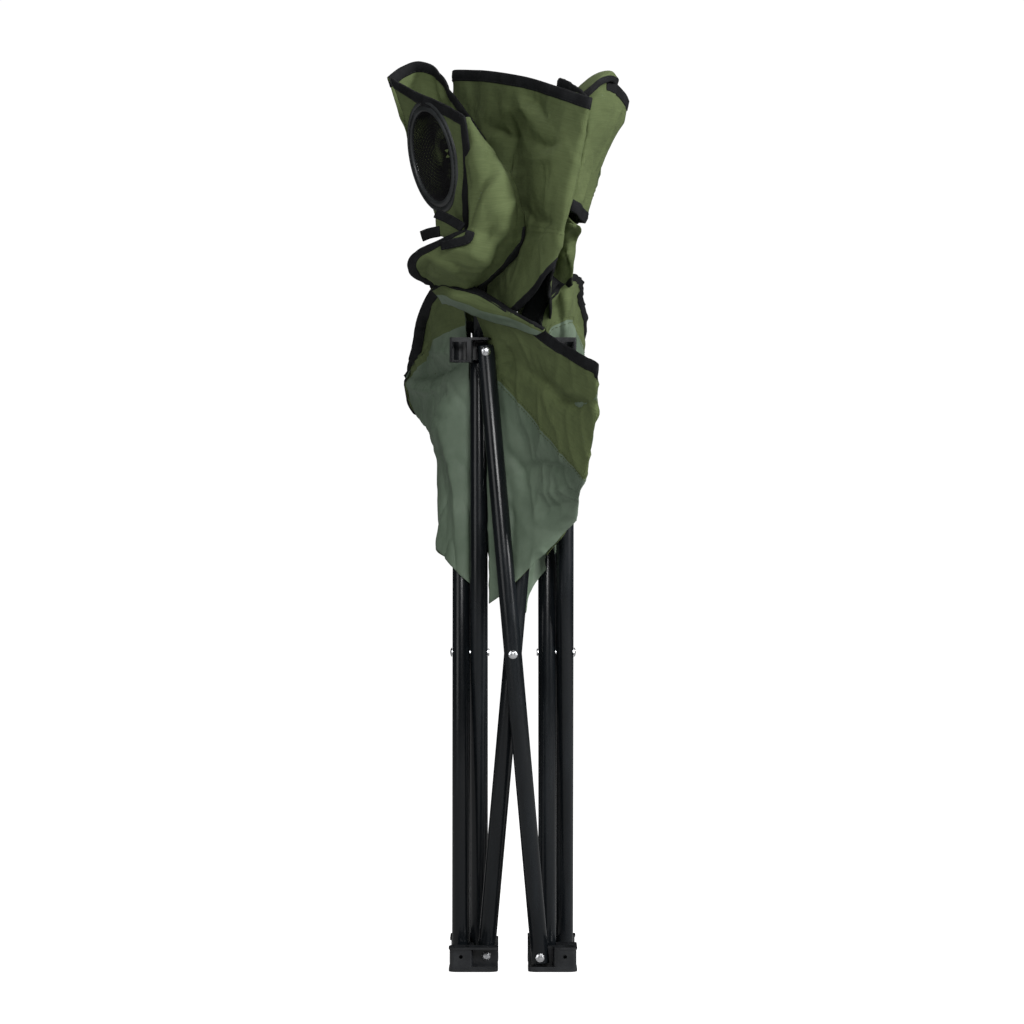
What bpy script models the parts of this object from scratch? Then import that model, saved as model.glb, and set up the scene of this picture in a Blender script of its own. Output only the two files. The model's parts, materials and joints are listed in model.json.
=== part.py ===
"""Folding camp chair, closed and standing on its four feet.

Four scissor pairs of round tube, one on each side of a square, join four moulded feet
to four moulded hubs. The two rear hubs slide on tall rear posts, the two front hubs carry
short arm posts. Seat, back and arms are sheets of cloth, here thin plain panels.
Metres, +Z up, -Y is the front. The four corners repeat the same mouldings turned by
quarter turns, so a corner is drawn once, in its own frame, for the rear right corner.
"""
import math

import bmesh
import bpy
from mathutils import Matrix, Vector

# Driving dimensions
TUBE_R = 0.008
TUBE_WALL = 0.001
BAR_LENGTH = 0.547        # from foot rivet to hub rivet
BAR_END = 0.006           # tube beyond each end rivet
PIVOT_X = 0.0243          # end rivets to the middle of their side, closed
OUTER_PLANE = 0.0473      # middle of the bundle to an outer bar's axis
INNER_PLANE = 0.0310      # middle of the bundle to an inner bar's axis
FOOT_PIVOT_Z = 0.0125
POST_AT = 0.0468          # rear post from the middle of the bundle, both ways
POST_TOP = 0.800
ARM_POST_AT = (0.0276, 0.0310, 0.0)  # in a front corner's own frame
ARM_POST_TOP = 0.746
CHAIR_AT = Vector((0.0, -0.0044, 0.0))

GAP = 0.0003
RIVET_R = 0.0024
RIVET_HEAD_R = 0.0043
RIVET_HEAD_H = 0.0018
RIVET_TAIL_R = 0.0036
RIVET_TAIL_H = 0.0011
HOLE_R = 0.0028
LUG = 0.003
CORNER_IN = 0.0135        # inner edge of a foot or hub
CORNER_OUT = 0.057        # outer edge of a foot or hub
TOWER_IN = 0.0362         # inner edge of the post socket's block
FOOT_HEIGHT = 0.022
FOOT_FLOOR = 0.0022
HUB_DROP = 0.0095         # hub below its rivets
HUB_RISE = 0.0103         # underside of the hub's top plate above its rivets
HUB_PLATE = 0.0022
CLOTH = 0.0012

CLOSED_ANGLE = math.asin(2 * PIVOT_X / BAR_LENGTH)
BAR_HEIGHT = BAR_LENGTH * math.cos(CLOSED_ANGLE)
HUB_PIVOT_Z = FOOT_PIVOT_Z + BAR_HEIGHT
CROSS_Z = FOOT_PIVOT_Z + BAR_HEIGHT / 2
FLANGE_TOP = HUB_PIVOT_Z + HUB_RISE + HUB_PLATE

# Corners and sides, counted anticlockwise from the front left corner, seen from above
CORNERS = {"front_left": 180.0, "front_right": -90.0, "rear_right": 0.0, "rear_left": 90.0}
SIDES = {"front": 0.0, "right": 90.0, "back": 180.0, "left": 270.0}


def clear_scene():
    for obj in list(bpy.data.objects):
        bpy.data.objects.remove(obj, do_unlink=True)


def make_collection(name):
    collection = bpy.data.collections.new(name)
    bpy.context.scene.collection.children.link(collection)
    return collection


def make_material(name, colour, roughness, metallic=0.0):
    material = bpy.data.materials.new(name)
    material.use_nodes = True
    shader = material.node_tree.nodes["Principled BSDF"]
    shader.inputs["Base Color"].default_value = (*colour, 1.0)
    shader.inputs["Roughness"].default_value = roughness
    shader.inputs["Metallic"].default_value = metallic
    return material


clear_scene()
CHAIR = make_collection("folding_camp_chair")
GUIDES = make_collection("guides")
BLACK_STEEL = make_material("black_powder_coat", (0.012, 0.013, 0.015), 0.35)
BLACK_PLASTIC = make_material("black_plastic", (0.015, 0.016, 0.018), 0.5)
ZINC = make_material("zinc", (0.72, 0.73, 0.74), 0.3, 1.0)
OLIVE = make_material("olive_cloth", (0.09, 0.12, 0.045), 0.85)
MESH_CLOTH = make_material("black_mesh", (0.01, 0.01, 0.01), 0.9)

MIDDLE = bpy.data.objects.new("chair_middle", None)
MIDDLE.location = CHAIR_AT
CHAIR.objects.link(MIDDLE)


def add_part(name, mesh, material, matrix=None):
    """A named part of the chair, placed about the middle of the bundle."""
    obj = bpy.data.objects.new(name, mesh)
    CHAIR.objects.link(obj)
    if not mesh.materials:
        mesh.materials.append(material)
    obj.parent = MIDDLE
    obj.matrix_local = matrix if matrix is not None else Matrix.Identity(4)
    return obj


def add_helper(name, bm):
    """A guide that shapes a part by a Boolean and is left out of the chair."""
    mesh = bpy.data.meshes.new(name)
    bm.to_mesh(mesh)
    bm.free()
    obj = bpy.data.objects.new(name, mesh)
    obj.hide_render = True
    obj.display_type = "WIRE"
    GUIDES.objects.link(obj)
    return obj


def block(low, high, corner_r=0.0):
    """A box between two corners, its upright edges rounded."""
    low, high = Vector(low), Vector(high)
    bm = bmesh.new()
    bmesh.ops.create_cube(bm, size=1.0)
    bmesh.ops.transform(
        bm, matrix=Matrix.LocRotScale((low + high) / 2, None, high - low), verts=bm.verts
    )
    if corner_r:
        upright = [e for e in bm.edges if abs(e.verts[0].co.z - e.verts[1].co.z) > 1e-6]
        bmesh.ops.bevel(
            bm, geom=upright, offset=corner_r, segments=4, profile=0.5, affect="EDGES"
        )
    return add_helper("block", bm)


def rod(start, end, radius, sides=12):
    """A cylinder between two points."""
    start, end = Vector(start), Vector(end)
    along = end - start
    bm = bmesh.new()
    bmesh.ops.create_cone(
        bm, cap_ends=True, segments=sides, radius1=radius, radius2=radius, depth=along.length
    )
    turn = along.to_track_quat("Z", "Y").to_matrix().to_4x4()
    bmesh.ops.transform(bm, matrix=Matrix.Translation((start + end) / 2) @ turn, verts=bm.verts)
    return add_helper("rod", bm)


def carve(name, joined, cut):
    """One mesh from helpers: the first joined to the rest, then the cuts taken away."""
    base = joined[0]
    for other, operation in [(o, "UNION") for o in joined[1:]] + [(o, "DIFFERENCE") for o in cut]:
        step = base.modifiers.new(operation, "BOOLEAN")
        step.operation = operation
        step.object = other
    evaluated = base.evaluated_get(bpy.context.evaluated_depsgraph_get())
    mesh = bpy.data.meshes.new_from_object(evaluated)
    mesh.name = name
    for obj in joined + cut:
        bpy.data.objects.remove(obj, do_unlink=True)
    return mesh


def turned(name, profile, steps, closed=False):
    """A mesh turned about Z from (radius, height) points that run down the outside."""
    mesh = bpy.data.meshes.new(name)
    points = [(r, 0.0, z) for r, z in profile]
    edges = [(i, i + 1) for i in range(len(points) - 1)]
    if closed:
        edges.append((len(points) - 1, 0))
    mesh.from_pydata(points, edges, [])
    obj = bpy.data.objects.new(name, mesh)
    GUIDES.objects.link(obj)
    screw = obj.modifiers.new("turn", "SCREW")
    screw.steps = screw.render_steps = steps
    screw.use_merge_vertices = True
    screw.merge_threshold = 1e-5
    evaluated = obj.evaluated_get(bpy.context.evaluated_depsgraph_get())
    result = bpy.data.meshes.new_from_object(evaluated)
    result.name = name
    bpy.data.objects.remove(obj, do_unlink=True)
    return result


def tube_mesh(name, bottom, top, steps=20, cutters=()):
    """A straight hollow tube on Z with open ends, drilled by the cutters."""
    mesh = turned(
        name,
        [(TUBE_R, top), (TUBE_R, bottom), (TUBE_R - TUBE_WALL, bottom), (TUBE_R - TUBE_WALL, top)],
        steps,
        closed=True,
    )
    if not cutters:
        return mesh
    base = bpy.data.objects.new(name, mesh)
    GUIDES.objects.link(base)
    return carve(name, [base], list(cutters))


def rivet_mesh(name, grip):
    """A domed rivet on Z: head above the grip, flattened tail below it."""
    dome = [
        (RIVET_HEAD_R * math.cos(a), grip + GAP + RIVET_HEAD_H * math.sin(a))
        for a in (math.radians(d) for d in (90, 55, 25, 0))
    ]
    dome[0] = (0.0, grip + GAP + RIVET_HEAD_H)
    shank = [(RIVET_R, grip + GAP), (RIVET_R, -GAP)]
    tail = [
        (RIVET_TAIL_R, -GAP),
        (RIVET_TAIL_R * 0.8, -GAP - RIVET_TAIL_H),
        (0.0, -GAP - RIVET_TAIL_H),
    ]
    return turned(name, dome + shank + tail, 12)


def side_matrix(side):
    """Turns the front side's frame onto another side: X to its right, -Y outwards."""
    return Matrix.Rotation(math.radians(SIDES[side]), 4, "Z")


def corner_matrix(corner, height=0.0):
    turn = Matrix.Rotation(math.radians(CORNERS[corner]), 4, "Z")
    return Matrix.Translation((0.0, 0.0, height)) @ turn


def add_scissor_bars():
    """Two crossing bars on each side, the outer one falling to the right seen from outside."""
    half = BAR_LENGTH / 2
    reach = half + BAR_END
    holes = [rod((0, -0.012, z), (0, 0.012, z), HOLE_R) for z in (-half, 0.0, half)]
    mesh = tube_mesh("scissor_bar", -reach, reach, cutters=holes)
    for side in SIDES:
        for kind, plane, lean in (
            ("outer", OUTER_PLANE, -CLOSED_ANGLE),
            ("inner", INNER_PLANE, CLOSED_ANGLE),
        ):
            place = Matrix.Translation((0.0, -plane, CROSS_Z)) @ Matrix.Rotation(lean, 4, "Y")
            add_part(f"{side}_{kind}_bar", mesh, BLACK_STEEL, side_matrix(side) @ place)


def add_rivets():
    """Five rivets on each side: two at the feet, one at the crossing, two at the hubs."""
    skin = TUBE_R
    lug_back = OUTER_PLANE - skin - 2 * GAP - LUG
    through_both = rivet_mesh("rivet_cross", OUTER_PLANE - INNER_PLANE + 2 * skin)
    through_outer = rivet_mesh("rivet_outer", OUTER_PLANE + skin - lug_back)
    through_inner = rivet_mesh("rivet_inner", 2 * skin + GAP + LUG)
    inner_back = INNER_PLANE - skin
    facing = Matrix.Rotation(math.radians(90), 4, "X")
    for side in SIDES:
        for name, mesh, x, back, z in (
            ("cross", through_both, 0.0, inner_back, CROSS_Z),
            ("outer_foot", through_outer, PIVOT_X, lug_back, FOOT_PIVOT_Z),
            ("outer_hub", through_outer, -PIVOT_X, lug_back, HUB_PIVOT_Z),
            ("inner_foot", through_inner, -PIVOT_X, inner_back, FOOT_PIVOT_Z),
            ("inner_hub", through_inner, PIVOT_X, inner_back, HUB_PIVOT_Z),
        ):
            place = side_matrix(side) @ Matrix.Translation((x, -back, z)) @ facing
            add_part(f"rivet_{side}_{name}", mesh, ZINC, place)


def lug_walls(bottom, top):
    """The two upright walls that hold the end rivets: behind the outer bar, outside the inner."""
    outer_wall = OUTER_PLANE - TUBE_R - 2 * GAP
    inner_wall = INNER_PLANE + TUBE_R + GAP
    return [
        block((outer_wall - LUG, CORNER_IN, bottom), (outer_wall, TOWER_IN + 0.003, top)),
        block((CORNER_IN, inner_wall, bottom), (TOWER_IN + 0.003, inner_wall + LUG, top)),
    ]


def lug_holes(height):
    """Rivet holes through both walls, at one height."""
    return [
        rod((0.030, PIVOT_X, height), (0.046, PIVOT_X, height), HOLE_R),
        rod((PIVOT_X, 0.036, height), (PIVOT_X, 0.048, height), HOLE_R),
    ]


def foot_mesh():
    """A foot for the rear right corner: floor, post socket, two lug walls and thin lips."""
    lip = 0.0008
    rim = 0.0045
    top_lip = FOOT_HEIGHT - 0.002
    socket_screw_z = 0.0135
    tower_wall = 0.0013
    joined = [
        block((CORNER_IN, CORNER_IN, 0.0), (CORNER_OUT + lip, CORNER_OUT + lip, FOOT_FLOOR), 0.008),
        block((TOWER_IN, TOWER_IN, 0.001), (CORNER_OUT, CORNER_OUT, FOOT_HEIGHT), 0.004),
        block((CORNER_OUT - tower_wall, 0.0155, 0.0006), (CORNER_OUT, CORNER_OUT - 0.006, rim)),
        block((0.0155, CORNER_OUT - tower_wall, 0.0006), (CORNER_OUT - 0.006, CORNER_OUT, rim)),
        block(
            (CORNER_IN, INNER_PLANE + TUBE_R + GAP, top_lip),
            (CORNER_OUT + lip, CORNER_OUT + lip, FOOT_HEIGHT),
            0.004,
        ),
    ] + lug_walls(0.001, FOOT_HEIGHT - 0.0007)
    cut = lug_holes(FOOT_PIVOT_Z) + [
        rod((POST_AT, POST_AT, 0.004), (POST_AT, POST_AT, 0.03), TUBE_R + 0.0004, 24),
        rod((POST_AT, 0.050, socket_screw_z), (POST_AT, 0.060, socket_screw_z), 0.0018),
        rod((0.050, POST_AT, socket_screw_z), (0.060, POST_AT, socket_screw_z), 0.0018),
    ]
    return carve("foot", joined, cut)


def hub_mesh(name, with_spigot):
    """A hub for the rear right corner, its rivets at height 0: the foot mirrored on the diagonal."""
    top = HUB_RISE + HUB_PLATE
    outer_wall = OUTER_PLANE - TUBE_R - 2 * GAP
    inner_wall = INNER_PLANE + TUBE_R + GAP
    joined = [
        block((0.0200, 0.0155, HUB_RISE), (CORNER_OUT, CORNER_OUT, top), 0.004),
        block((TOWER_IN, TOWER_IN, -HUB_DROP), (CORNER_OUT, CORNER_OUT, top - 0.0006), 0.002),
        block((CORNER_IN + 0.002, outer_wall - LUG, -0.007), (0.0392, outer_wall, HUB_RISE + 0.001)),
        block((inner_wall, CORNER_IN + 0.002, -0.007), (inner_wall + LUG, 0.0392, HUB_RISE + 0.001)),
    ]
    cut = [
        rod((PIVOT_X, 0.030, 0.0), (PIVOT_X, 0.046, 0.0), HOLE_R),
        rod((0.036, PIVOT_X, 0.0), (0.048, PIVOT_X, 0.0), HOLE_R),
        rod((POST_AT, POST_AT, -0.02), (POST_AT, POST_AT, 0.03), TUBE_R + 0.0005, 24),
        block((0.0414, 0.050, -0.0078), (0.0545, 0.060, 0.0085)),
        block((0.050, 0.0414, -0.0078), (0.060, 0.0545, 0.0085)),
    ]
    if with_spigot:
        foot_of_spigot = Vector((ARM_POST_AT[0], ARM_POST_AT[1], top - 0.001))
        joined.append(rod(foot_of_spigot, foot_of_spigot + Vector((0, 0, 0.015)), 0.0066, 16))
    return carve(name, joined, cut)


def add_mouldings():
    foot = foot_mesh()
    rear_hub = hub_mesh("rear_hub", with_spigot=False)
    front_hub = hub_mesh("front_hub", with_spigot=True)
    for corner in CORNERS:
        add_part(f"foot_{corner}", foot, BLACK_PLASTIC, corner_matrix(corner))
        hub = front_hub if corner.startswith("front") else rear_hub
        add_part(f"hub_{corner}", hub, BLACK_PLASTIC, corner_matrix(corner, HUB_PIVOT_Z))


def add_posts():
    """Rear posts in the rear feet's sockets, arm posts over the front hubs' spigots."""
    rear = tube_mesh("rear_post", 0.0043, POST_TOP)
    cap_r = TUBE_R + 0.0008
    plug_r = TUBE_R - TUBE_WALL - GAP
    cap = turned(
        "post_cap",
        [
            (0.0, POST_TOP + 0.0035), (cap_r * 0.7, POST_TOP + 0.003), (cap_r, POST_TOP + 0.0015),
            (cap_r, POST_TOP + GAP), (plug_r, POST_TOP + GAP), (plug_r, POST_TOP - 0.012),
            (0.0, POST_TOP - 0.012),
        ],
        16,
    )
    for corner, side in (("rear_right", "right"), ("rear_left", "left")):
        place = corner_matrix(corner) @ Matrix.Translation((POST_AT, POST_AT, 0.0))
        add_part(f"rear_post_{side}", rear, BLACK_STEEL, place)
        add_part(f"post_cap_{side}", cap, BLACK_PLASTIC, place)
    arm = tube_mesh("arm_post", FLANGE_TOP + GAP, ARM_POST_TOP)
    for side in ("right", "left"):
        place = corner_matrix(f"front_{side}") @ Matrix.Translation(ARM_POST_AT)
        add_part(f"arm_post_{side}", arm, BLACK_STEEL, place)


def add_panel(name, corners):
    """A flat cloth panel through three or more corners, solidified to the cloth's thickness."""
    bm = bmesh.new()
    bm.faces.new([bm.verts.new(Vector(c) / 1000) for c in corners])
    mesh = bpy.data.meshes.new(name)
    bm.to_mesh(mesh)
    bm.free()
    panel = add_part(name, mesh, OLIVE)
    thicken(panel)
    return panel


def add_curtain(name, plan, low, high):
    """A cloth panel that stands upright on a line of plan points, in millimetres."""
    bm = bmesh.new()
    rows = [
        [bm.verts.new(Vector((x, y, z)) / 1000) for x, y in plan] for z in (low, high)
    ]
    for i in range(len(plan) - 1):
        bm.faces.new((rows[0][i], rows[0][i + 1], rows[1][i + 1], rows[1][i]))
    mesh = bpy.data.meshes.new(name)
    bm.to_mesh(mesh)
    bm.free()
    panel = add_part(name, mesh, OLIVE)
    thicken(panel)
    return panel


def thicken(panel):
    skin = panel.modifiers.new("cloth", "SOLIDIFY")
    skin.thickness = CLOTH
    skin.offset = 0.0
    skin.use_even_offset = True


# Cloth, closed: millimetres from the middle of the bundle
SEAT_PANELS = {
    "seat_front_left": [(-12, -62, 604), (70, -205, 541), (2, -62, 345)],
    "seat_front_right": [(32, -62, 585), (77, -203, 535), (12, -62, 352)],
    "seat_left_front": [(-66, -5, 600), (-100, 186, 532), (-71, 25, 376)],
    "seat_left_rear": [(-61, 58, 598), (-94, 188, 526), (-62, 75, 402)],
    "seat_right_front": [(62, -8, 598), (76, 186, 532), (62, 20, 400)],
    "seat_right_rear": [(59, 64, 598), (71, 188, 526), (59, 72, 420)],
    "seat_rear_left": [(-26, 62, 606), (8, 214, 534), (0, 62, 352)],
    "seat_rear_right": [(30, 62, 604), (15, 212, 532), (12, 62, 360)],
}
ARM_CURTAINS = {
    "arm_left_front": ([(-98, -22), (-46, -124)], 650, 806),
    "arm_left_middle": ([(-42, -124), (9, -98)], 640, 800),
    "arm_left_rear": ([(5, -93), (-42, -52), (-56, 30)], 625, 700),
    "arm_right_front": ([(40, -42), (66, -138)], 640, 790),
    "arm_right_middle": ([(70, -136), (100, -58)], 660, 807),
    "arm_right_rear": ([(97, -52), (60, 34)], 640, 780),
}
BACK_CURTAINS = {
    "back_left": ([(-36, 34), (49, -160)], 605, 800),
    "back_right": ([(38, 33), (14, -34), (53, -158)], 605, 800),
}
RING_AT = Vector((-0.0702, -0.078, 0.7305))
RING_FACING = Vector((-0.888, -0.409, -0.21)).normalized()
RING_R = 0.051
RING_HOLE_R = 0.0405
POCKET_DEPTH = 0.022


def add_cloth():
    for name, corners in SEAT_PANELS.items():
        add_panel(name, corners)
    for name, (plan, low, high) in {**BACK_CURTAINS, **ARM_CURTAINS}.items():
        add_curtain(name, plan, low, high)


def add_cup_holder():
    """A stiff ring over a hole in the left arm's front panel, with a shallow folded mesh pocket."""
    facing = RING_FACING.to_track_quat("Z", "Y").to_matrix().to_4x4()
    place = Matrix.Translation(RING_AT) @ facing
    ring = turned(
        "cup_ring",
        [
            (RING_HOLE_R + 0.003, 0.003), (RING_R - 0.002, 0.0024), (RING_R, 0.001), (RING_R, 0.0),
            (RING_HOLE_R, 0.0), (RING_HOLE_R, 0.002),
        ],
        40,
        closed=True,
    )
    add_part("cup_ring", ring, BLACK_PLASTIC, place)
    wall = 0.0008
    rim_r = RING_HOLE_R - 0.0006
    pocket = turned(
        "cup_pocket",
        [
            (0.0, -POCKET_DEPTH + wall), (rim_r - 0.004 - wall, -POCKET_DEPTH + wall),
            (rim_r - wall, -0.001), (rim_r, -0.001), (rim_r - 0.004, -POCKET_DEPTH),
            (0.0, -POCKET_DEPTH),
        ],
        32,
    )
    add_part("cup_pocket", pocket, MESH_CLOTH, place)
    panel = bpy.data.objects["arm_left_front"]
    reach = 0.03 * RING_FACING
    hole = rod(RING_AT + reach, RING_AT - reach, RING_R + 0.001, 32)
    hole.location = CHAIR_AT
    cut = panel.modifiers.new("cup hole", "BOOLEAN")
    cut.operation = "DIFFERENCE"
    cut.object = hole


add_scissor_bars()
add_rivets()
add_mouldings()
add_posts()
add_cloth()
add_cup_holder()
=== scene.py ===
"""Looks of the folding camp chair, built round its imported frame.

The frame's tubes, the cup ring and the cup pocket are replaced by finer meshes in the same places.
Every sheet of cloth is a smooth surface through a few control points, folded and wrinkled, given
its thickness, bound with tape along most of its open edges and sewn. Cloth points are millimetres
from the middle of the four feet, x to the right seen from the front, y backwards and z up from the
ground.
"""
import json
import math

import bmesh
import bpy
import numpy as np
from mathutils import Matrix, Vector, noise


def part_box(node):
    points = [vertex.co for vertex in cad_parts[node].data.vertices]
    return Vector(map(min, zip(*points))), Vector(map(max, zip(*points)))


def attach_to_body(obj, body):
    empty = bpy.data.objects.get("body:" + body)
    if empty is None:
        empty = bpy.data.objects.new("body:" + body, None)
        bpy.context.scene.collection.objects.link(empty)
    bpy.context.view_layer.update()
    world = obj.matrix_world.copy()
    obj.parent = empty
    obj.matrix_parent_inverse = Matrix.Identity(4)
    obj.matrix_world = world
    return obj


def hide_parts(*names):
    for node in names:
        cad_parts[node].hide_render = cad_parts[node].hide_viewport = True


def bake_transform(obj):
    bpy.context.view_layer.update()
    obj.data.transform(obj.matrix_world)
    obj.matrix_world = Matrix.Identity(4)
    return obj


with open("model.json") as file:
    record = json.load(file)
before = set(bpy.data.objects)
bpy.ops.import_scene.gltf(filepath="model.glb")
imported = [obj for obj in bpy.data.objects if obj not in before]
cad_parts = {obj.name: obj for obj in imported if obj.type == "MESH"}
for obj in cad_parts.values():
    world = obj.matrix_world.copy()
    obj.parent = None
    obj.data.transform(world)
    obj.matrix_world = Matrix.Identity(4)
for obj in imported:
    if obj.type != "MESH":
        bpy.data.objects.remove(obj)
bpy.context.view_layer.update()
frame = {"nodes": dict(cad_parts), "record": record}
NODES = frame["nodes"]
BODY_OF = {
    node: body for body, nodes in frame["record"]["behaviour"]["bodies"].items() for node in nodes
}

MM = 0.001
FRONT_FOOT, REAR_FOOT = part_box("foot_front_left"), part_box("foot_rear_right")
MIDDLE = Vector(
    ((FRONT_FOOT[0].x + REAR_FOOT[1].x) / 2, (FRONT_FOOT[0].y + REAR_FOOT[1].y) / 2, 0.0)
)

CLOTH_THICK = 0.0009
CLOTH_PITCH = 0.0025       # between the points of a sheet's even grid
TAPE_WIDTH = 0.0095
TAPE_THICK = 0.0007
TAPE_PITCH = 0.002         # between the points along a free length of tape
PIPING_WIDTH = 0.0028
THREAD_R = 0.00028
STITCH_PITCH = 0.0042
STITCH_LENGTH = 0.0028
TUBE_R = 0.008
RING_R = 0.051
RING_HOLE_R = 0.0405
RING_STEPS = 128
CUP_HOLE_R = 0.046         # the hole in the arm's cloth, under the ring
NET_R = 0.0404
NET_DEPTH = 0.014
NET_STRANDS = 84           # in each of the net's two directions
NET_STEPS = 40
YARN_R = 0.00046

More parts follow.
